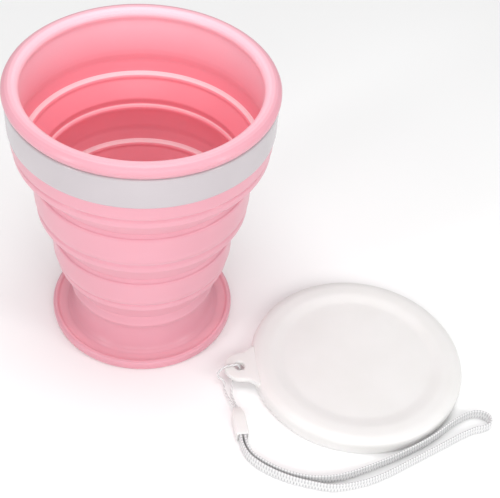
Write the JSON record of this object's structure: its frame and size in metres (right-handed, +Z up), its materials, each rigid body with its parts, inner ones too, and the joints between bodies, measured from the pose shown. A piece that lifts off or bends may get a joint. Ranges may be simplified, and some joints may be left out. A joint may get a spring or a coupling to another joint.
{
  "type": "collapsible travel cup",
  "caption": "Collapsible silicone cup with ribbed folding walls, a rigid band round the mouth, a stopper lid and a wrist lanyard.",
  "frame": {"origin": "on the cup's axis, on the flat underside of the foot, which is the surface that the cup stands on", "axes": "+Z up along the cup's axis, +X towards the lid at the cup's side, -Y towards the viewer and the wrist strap"},
  "size_m": [0.1596, 0.125, 0.1],
  "materials": {
    "silicone": "satin pink silicone",
    "band_plastic": "glossy white",
    "lid_plastic": "satin milky white",
    "string": "braided white",
    "clasp_plastic": "satin milky white",
    "webbing": "woven white"
  },
  "bodies": {
    "foot": {"foot": "silicone", "lower_fold": "silicone"},
    "lower": {"lower_ring": "silicone", "middle_fold": "silicone"},
    "upper": {"upper_ring": "silicone", "upper_fold": "silicone"},
    "mouth": {"mouth_collar": "silicone", "rigid_band": "band_plastic"},
    "lid": {"lid": "lid_plastic", "lanyard_string": "string", "lanyard_clasp": "clasp_plastic", "wrist_strap": "webbing"}
  },
  "joints": [
    {"name": "lower_fold_slide", "type": "slide", "parent": "foot", "child": "lower", "axis": [0, 0, -1], "range_m": [0, 0.024], "deforming": ["lower_fold"]},
    {"name": "middle_fold_slide", "type": "slide", "parent": "lower", "child": "upper", "axis": [0, 0, -1], "range_m": [0, 0.024], "deforming": ["middle_fold"]},
    {"name": "upper_fold_slide", "type": "slide", "parent": "upper", "child": "mouth", "axis": [0, 0, -1], "range_m": [0, 0.024], "deforming": ["upper_fold"]},
    {"name": "lid_lift", "type": "slide", "parent": "foot", "child": "lid", "axis": [0, 0, 1], "range_m": [0, 0.07]}
  ],
  "couplings": [
    {"joint": "middle_fold_slide", "follows": "lower_fold_slide", "ratio": 1},
    {"joint": "upper_fold_slide", "follows": "lower_fold_slide", "ratio": 1}
  ]
}
